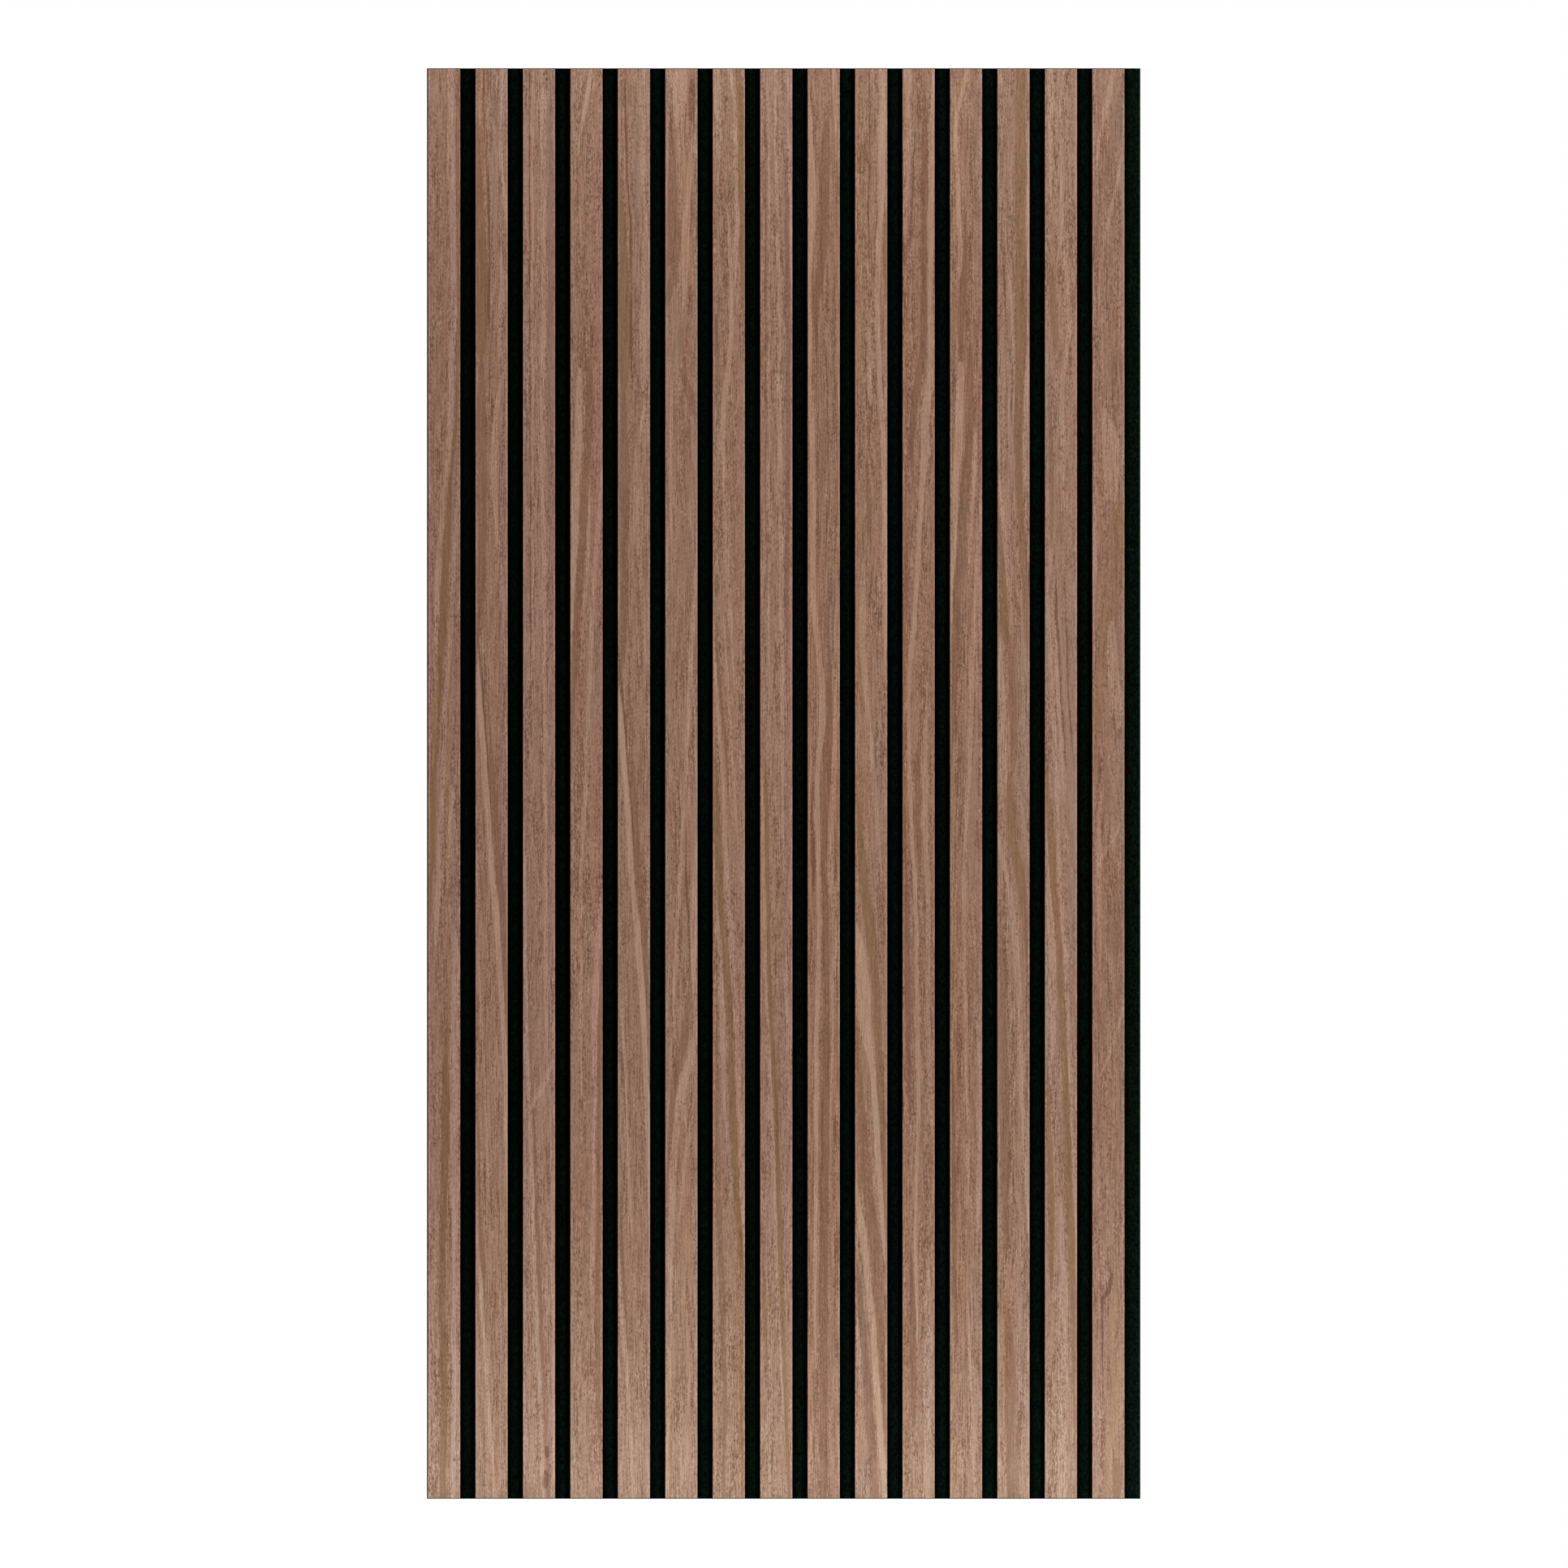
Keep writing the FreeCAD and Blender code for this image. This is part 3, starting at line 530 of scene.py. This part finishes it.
def streak(material, across, height, points):
    """How much of a streak is at a place, 0 to 1. Its middle and half width follow curves."""
    sloped = []
    for column, share in ((1, 1.0), (2, 0.5)):
        curve = add(material, "FloatCurve", {"Value": height})
        line = curve.mapping.curves[0]
        ordered = sorted(points)
        for number, point in enumerate(ordered):
            x = 0.5 + point[0] / figure_height / 2
            y = 0.5 + point[column] * share / figure_reach / 2
            if number < 2:
                line.points[number].location = (x, y)
            else:
                line.points.new(x, y)
        curve.mapping.update()
        sloped.append(curve)
    middle, half_width = sloped
    offset = add(material, "Math", {0: across, 1: middle}, operation="SUBTRACT")
    distance = add(material, "Math", {0: offset}, operation="ABSOLUTE")
    inside = add(material, "Math", {0: half_width, 1: distance}, operation="SUBTRACT")
    soft = streak_softness / figure_reach / 2
    return add(material, "MapRange", {
        "Value": inside, "From Min": 0.5 - soft, "From Max": 0.5 + soft,
    }, interpolation_type="SMOOTHSTEP")


# Patterns of the fine grain: millimetres across and along it, and how far each moves the tone.
# Into the leaf all of them are long, so they hardly change on the eased edges
growth_rings = ((9, 260, 0.10), (2.2, 60, 0.10))
wood_fibres = ((0.7, 24, 0.55), (0.75, 2.2, 0.48))
grain_depth = 30


def walnut_veneer(number):
    """Matt lacquered walnut: warm grey-brown, straight fibre, short dark pores, pale and olive streaks."""
    material, panel_place = blank_material(f"matt_walnut_veneer_{number:02d}")
    middle_x = middle_of_first + (number - 1) * slat_pitch
    place = add(material, "VectorMath", {0: panel_place, 1: (middle_x, 0, 0)}, operation="SUBTRACT")
    seed = 3.1 * number

    # The fibre wanders slowly along the slat and trembles a little, so no streak has a ruled edge
    wander_reach, ripple_reach, tremble_reach = 8.0, 1.6, 1.0
    wander = patches(material, place, (60, 60, 240), seed, detail=0.0)
    ripple = patches(material, place, (12, 12, 45), seed + 1, detail=0.0)
    tremble = patches(material, place, (0.8, 9, 9), seed + 2, detail=0.0)
    loose = add(material, "Math", {
        0: wander, 1: wander_reach, 2: -wander_reach / 2}, operation="MULTIPLY_ADD")
    rippled = add(material, "Math", {
        0: ripple, 1: ripple_reach, 2: -ripple_reach / 2}, operation="MULTIPLY_ADD")
    trembled = add(material, "Math", {
        0: tremble, 1: tremble_reach, 2: -tremble_reach / 2}, operation="MULTIPLY_ADD")
    near_edge = add(material, "Math", {0: rippled, 1: trembled}, operation="ADD")
    far_edge = add(material, "Math", {0: near_edge, 1: loose}, operation="ADD")
    streak_shift = add(material, "CombineXYZ", {"X": near_edge})
    grain_shift = add(material, "CombineXYZ", {"X": far_edge})
    streak_place = add(material, "VectorMath", {0: place, 1: streak_shift}, operation="ADD")
    grain_place = add(material, "VectorMath", {0: place, 1: grain_shift}, operation="ADD")
    split = add(material, "SeparateXYZ", {"Vector": streak_place})
    across = add(material, "Math", {
        0: split.outputs["X"], 1: 0.5 / figure_reach, 2: 0.5}, operation="MULTIPLY_ADD")
    height = add(material, "Math", {
        0: split.outputs["Z"], 1: 0.5 / figure_height, 2: 0.5}, operation="MULTIPLY_ADD")

    # Tone: 0.5 is the plain wood. Slow bands of the growth rings come first, and then the streaks
    leaf_tone, leaf_warmth = leaves[number - 1]
    tone = 0.5 + leaf_tone
    for width, length, share in growth_rings:
        band = patches(material, grain_place, (width, grain_depth, length), seed + length, detail=0.0)
        level = add(material, "Math", {0: band, 1: share, 2: -share / 2}, operation="MULTIPLY_ADD")
        tone = add(material, "Math", {0: tone, 1: level}, operation="ADD")
    hue_swing = 2.6
    hue = patches(material, grain_place, (9, grain_depth, 130), seed + 5, detail=1.0)
    warmth = add(material, "Math", {
        0: hue, 1: hue_swing, 2: leaf_warmth - hue_swing / 2}, operation="MULTIPLY_ADD")
    calm = 0.0
    mineral = 0.0
    for kind, *points in figures[number]:
        lightening, warming, smoothing, yellowing = streak_kinds[kind]
        mask = streak(material, across, height, points)
        tone = add(material, "Math", {0: mask, 1: lightening, 2: tone}, operation="MULTIPLY_ADD")
        warmth = add(material, "Math", {0: mask, 1: warming, 2: warmth}, operation="MULTIPLY_ADD")
        if smoothing:
            calm = add(material, "Math", {0: mask, 1: smoothing, 2: calm}, operation="MULTIPLY_ADD")
        if yellowing:
            stain = add(material, "Math", {0: mask, 1: yellowing}, operation="MULTIPLY")
            mineral = add(material, "Math", {0: stain, 1: mineral}, operation="MAXIMUM")

    # Single fibres and flecks, strong where the pores crowd and weak in the smooth streaks
    crowd = patches(material, grain_place, (5, grain_depth, 60), seed + 8, detail=0.0)
    crowding = add(material, "MapRange", {
        "Value": crowd, "From Min": 0.3, "From Max": 0.7, "To Min": 0.75, "To Max": 1.3})
    lively = add(material, "Math", {0: 1.0, 1: calm}, operation="SUBTRACT", use_clamp=True)
    strength = add(material, "Math", {0: crowding, 1: lively}, operation="MULTIPLY")
    for width, length, share in wood_fibres:
        fibres = patches(material, grain_place, (width, grain_depth, length), seed + length, detail=0.0)
        level = add(material, "Math", {0: fibres, 1: share, 2: -share / 2}, operation="MULTIPLY_ADD")
        tone = add(material, "Math", {0: level, 1: strength, 2: tone}, operation="MULTIPLY_ADD")

    # Pores: short dark dashes, crowded in some rings. Real ones are 0.2 mm wide and wouldn't show,
    # so they are drawn about three times as coarse. Between them a painted glint makes single fibres a
    # little lighter
    pore_width, pore_length = 0.8, 3.5
    pore_darkening, glint_strength = 0.18, 0.12
    dash = patches(material, grain_place, (pore_width, grain_depth, pore_length), seed + 7, detail=0.0)
    limit = add(material, "Math", {0: crowd, 1: -0.5, 2: 0.89}, operation="MULTIPLY_ADD")
    over = add(material, "Math", {0: dash, 1: limit}, operation="SUBTRACT")
    pore = add(material, "MapRange", {"Value": over, "From Min": 0.0, "From Max": 0.06})
    deep = add(material, "Math", {0: pore, 1: lively}, operation="MULTIPLY")
    tone = add(material, "Math", {0: deep, 1: -pore_darkening, 2: tone}, operation="MULTIPLY_ADD")
    # Painted glint on single fibres
    painted_glint = add(material, "MapRange", {"Value": dash, "From Min": 0.30, "From Max": 0.22})
    tone = add(material, "Math", {0: painted_glint, 1: glint_strength, 2: tone}, operation="MULTIPLY_ADD")

    # Eased long edges: a painted highlight makes the arris lighter
    arris_highlight_strength = 0.10
    sides = add(material, "SeparateXYZ", {"Vector": place})
    from_middle = add(material, "Math", {0: sides.outputs["X"]}, operation="ABSOLUTE")
    arris_highlight = add(material, "MapRange", {
        "Value": from_middle, "From Min": half_slat - 2.0, "From Max": half_slat - 0.7})
    tone = add(material, "Math", {0: arris_highlight, 1: arris_highlight_strength, 2: tone}, operation="MULTIPLY_ADD")

    # Colour: the tone picks a walnut brown, which then leans to pink, to brown or to mineral yellow
    wood_tones = (
        (0.22, "613f2a"), (0.36, "7a5642"), (0.50, "8c6854"), (0.68, "9e7c69"), (0.86, "ad8d7a"),
    )
    pink_cast = (0.970, 1.012, 1.058, 1)
    brown_cast = (1.035, 0.972, 0.90, 1)
    mineral_cast = (1.0, 0.995, 0.82, 1)
    wood = add(material, "ValToRGB", {"Fac": tone})
    stops = wood.color_ramp.elements
    for position, shade in wood_tones:
        stop = stops.new(position)
        stop.color = colour(shade)
    stops.remove(stops[0])
    stops.remove(stops[-1])
    lean = add(material, "MapRange", {"Value": warmth, "From Min": -1.0, "From Max": 1.0})
    cast = add(material, "Mix", {"Factor": lean, "A": pink_cast, "B": brown_cast}, data_type="RGBA")
    yellowed = add(material, "Mix", {"Factor": mineral, "A": cast, "B": mineral_cast}, data_type="RGBA")
    tinted_wood = add(material, "Mix", {
        "Factor": 1.0, "A": wood, "B": yellowed}, data_type="RGBA", blend_type="MULTIPLY")

    under = add(material, "Math", {0: limit, 1: dash}, operation="SUBTRACT")
    bump = add(material, "Bump", {"Height": under, "Strength": 0.3, "Distance": 0.12 * MM})
    shader = add(material, "BsdfPrincipled", {
        "Base Color": tinted_wood, "Roughness": 0.6, "Specular IOR Level": 0.25, "Normal": bump,
    })
    add(material, "OutputMaterial", {"Surface": shader})
    return material


for number in range(1, slat_count + 1):
    nodes[f"slat_veneer_{number:02d}"].material_slots[0].material = walnut_veneer(number)


# Staples
# Fine zinc-coated steel wire, flattened, shot through the felt into the cores from behind.
# Only the crowns show, each drawn into its dimple in the felt.

def zinc_coated_wire():
    """Dull silvery zinc: metallic, with a soft blotchy haze."""
    material, place = blank_material("zinc_coated_steel_wire")
    haze_size = 1.5
    haze = patches(material, place, (haze_size, haze_size, haze_size), 2)
    tint = add(material, "Mix", {
        "Factor": haze, "A": colour("8b8d8f"), "B": colour("c3c5c6")}, data_type="RGBA")
    dull = add(material, "MapRange", {"Value": haze, "To Min": 0.3, "To Max": 0.55})
    shader = add(material, "BsdfPrincipled", {"Base Color": tint, "Metallic": 1.0, "Roughness": dull})
    add(material, "OutputMaterial", {"Surface": shader})
    return material


nodes["staples"].material_slots[0].material = zinc_coated_wire()


# Glue strings
# Hot-melt glue pulls out into fine hairs as its nozzle lifts. Three of them lie on the felt,
# stuck to the foot of the fourteenth slat, and felt dust has dulled them to grey.

def dusty_glue():
    """Clear glue with dark dust stuck in it: grey, a little glossy, and uneven."""
    material, place = blank_material("dusty_hot_melt_glue")
    speck = 0.6
    dust = patches(material, place, (speck, speck, speck), 4)
    tint = add(material, "Mix", {
        "Factor": dust, "A": colour("333231"), "B": colour("565452")}, data_type="RGBA")
    shader = add(material, "BsdfPrincipled", {
        "Base Color": tint, "Roughness": 0.5, "Specular IOR Level": 0.3})
    add(material, "OutputMaterial", {"Surface": shader})
    return material


glue = dusty_glue()
glued_slat_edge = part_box("slat_core_14")[0][0] / MM
string_thickness = 0.45

# In millimetres: where the free end lies across the panel, its height, and the stuck end's height
string_ends = [(215.9, 389.3, 387.4), (218.9, 379.9, 379.1), (218.6, 373.8, 372.0)]
for number, (free_x, free_height, stuck_height) in enumerate(string_ends, 1):
    bpy.ops.object.select_all(action="DESELECT")
    bpy.ops.curve.primitive_nurbs_path_add()
    string = bpy.context.object
    string.name = f"glue_string_{number}"
    points = string.data.splines[0].points
    for step, point in enumerate(points):
        along = step / (len(points) - 1)
        x = free_x + (glued_slat_edge - free_x) * along
        y = felt_face - string_thickness / 2
        z = free_height + (stuck_height - free_height) * along ** 2
        point.co = (x * MM, y * MM, z * MM, 1)
        point.radius = 0.4 + 0.6 * along
    string.data.bevel_depth = string_thickness / 2 * MM
    string.data.bevel_resolution = 1
    string.data.resolution_u = 4
    string.data.use_fill_caps = True
    bpy.ops.object.convert(target="MESH")
    string.data.materials.append(glue)
    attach(string, "root")


# Floor
# A plain sheet of white studio paper, which the panel stands on. The eye sees it nearly white,
# with the panel's own soft shadow on it.

def looked_at(material):
    """1 where a camera, mirror or glass ray looks, 0 where light is gathered."""
    path = add(material, "LightPath", {})
    mirrored = add(material, "Math", {
        0: path.outputs["Is Glossy Ray"], 1: path.outputs["Is Transmission Ray"]}, operation="MAXIMUM")
    return add(material, "Math", {0: path.outputs["Is Camera Ray"], 1: mirrored}, operation="MAXIMUM")


panel_low = Vector(cad_box[0])
floor_size, floor_gap = 12, 0.2 * MM
bpy.ops.object.select_all(action="DESELECT")
bpy.ops.mesh.primitive_plane_add(size=floor_size, location=(0, 0, panel_low.z - floor_gap))
floor = bpy.context.object
floor.name = "floor"
bpy.ops.object.transform_apply(location=True)
paper, paper_place = blank_material("white_paper_floor")
tooth_size, whitening = 1.5, 0.66
tooth = patches(paper, paper_place, (tooth_size, tooth_size, tooth_size), 1)
paper_bump = add(paper, "Bump", {"Height": tooth, "Strength": 0.1, "Distance": 0.1 * MM})
whitened = add(paper, "Math", {0: looked_at(paper), 1: whitening}, operation="MULTIPLY")
paper_shader = add(paper, "BsdfPrincipled", {
    "Base Color": colour("e4e3e1"), "Roughness": 0.9, "Specular IOR Level": 0.1, "Normal": paper_bump,
    "Emission Color": (1, 1, 1, 1), "Emission Strength": whitened,
})
add(paper, "OutputMaterial", {"Surface": paper_shader})
floor.data.materials.append(paper)


# Light
# A softbox to the right of the camera, a larger one far to the right, one behind, and dim walls round.
# Three daylight tubes, two at the foot and one at the top, brighten the panel's ends as in the
# photograph. A level of 1 lights a surface that faces the lamp at a plain level.

world = bpy.data.worlds.new("white_room")
bpy.context.scene.world = world
world.use_nodes = True
world.node_tree.nodes.clear()
wall_light = 0.08
wall_strength = add(world, "MapRange", {"Value": looked_at(world), "To Min": wall_light, "To Max": 1.0})
walls = add(world, "Background", {"Color": (1, 1, 1, 1), "Strength": wall_strength})
add(world, "OutputWorld", {"Surface": walls})


def lamp(name, place, aim, width, height, power):
    """A flat rectangular lamp turned to its aim, which the camera doesn't see."""
    light = bpy.data.lights.new(name, "AREA")
    light.shape = "RECTANGLE"
    light.size, light.size_y = width, height
    light.energy = power
    holder = bpy.data.objects.new(name, light)
    holder.location = place
    holder.rotation_euler = (Vector(aim) - Vector(place)).to_track_quat("-Z", "Y").to_euler()
    holder.visible_camera = False
    bpy.context.scene.collection.objects.link(holder)


def softbox(name, azimuth, elevation, distance, size, level):
    """A lamp aimed at the panel's middle. azimuth is in degrees to the right of straight ahead."""
    turn, rise = math.radians(azimuth), math.radians(elevation)
    place = (
        distance * math.sin(turn) * math.cos(rise),
        -distance * math.cos(turn) * math.cos(rise),
        distance * math.sin(rise),
    )
    lamp(name, place, (0, 0, 0), size, size, level * (math.pi * distance) ** 2)


tube_width = 0.02
daylight = (0.77, 1.0, 1.1)


def tube(name, height, clear, length, level):
    """A long thin lamp across the panel, facing it. clear is how far it stands off the slats."""
    distance = -panel_low.y + clear
    place = (0, -distance, height)
    lamp(name, place, (0, 0, height), length, tube_width, 2 * math.pi * clear * length * level)
    bpy.data.lights[name].color = daylight


softbox("key_softbox", azimuth=19, elevation=8, distance=6.0, size=0.8, level=0.41)
softbox("side_softbox", azimuth=62, elevation=5, distance=5.0, size=1.6, level=0.57)
softbox("back_softbox", azimuth=205, elevation=24, distance=5.5, size=1.6, level=0.9)
tube("foot_tube", height=-0.585, clear=0.215, length=1.6, level=0.52)
tube("floor_tube", height=-0.59, clear=0.07, length=1.2, level=0.27)
tube("top_tube", height=0.62, clear=0.14, length=1.0, level=0.27)


# Camera
# Straight in front, level with the panel's middle. The photograph shows no perspective, and its own
# middle lies a fraction of a millimetre off the panel's.

view_width, view_distance = 1.3219, 3.0
view_x, view_z = 0.0003, -0.0004
camera_data = bpy.data.cameras.new("front")
camera_data.type = "ORTHO"
camera_data.ortho_scale = view_width
camera = bpy.data.objects.new("front", camera_data)
camera.location = (view_x, -view_distance, view_z)
camera.rotation_euler = (math.radians(90), 0, 0)
bpy.context.scene.collection.objects.link(camera)
bpy.context.scene.camera = camera
bpy.context.scene.view_settings.view_transform = "Standard"
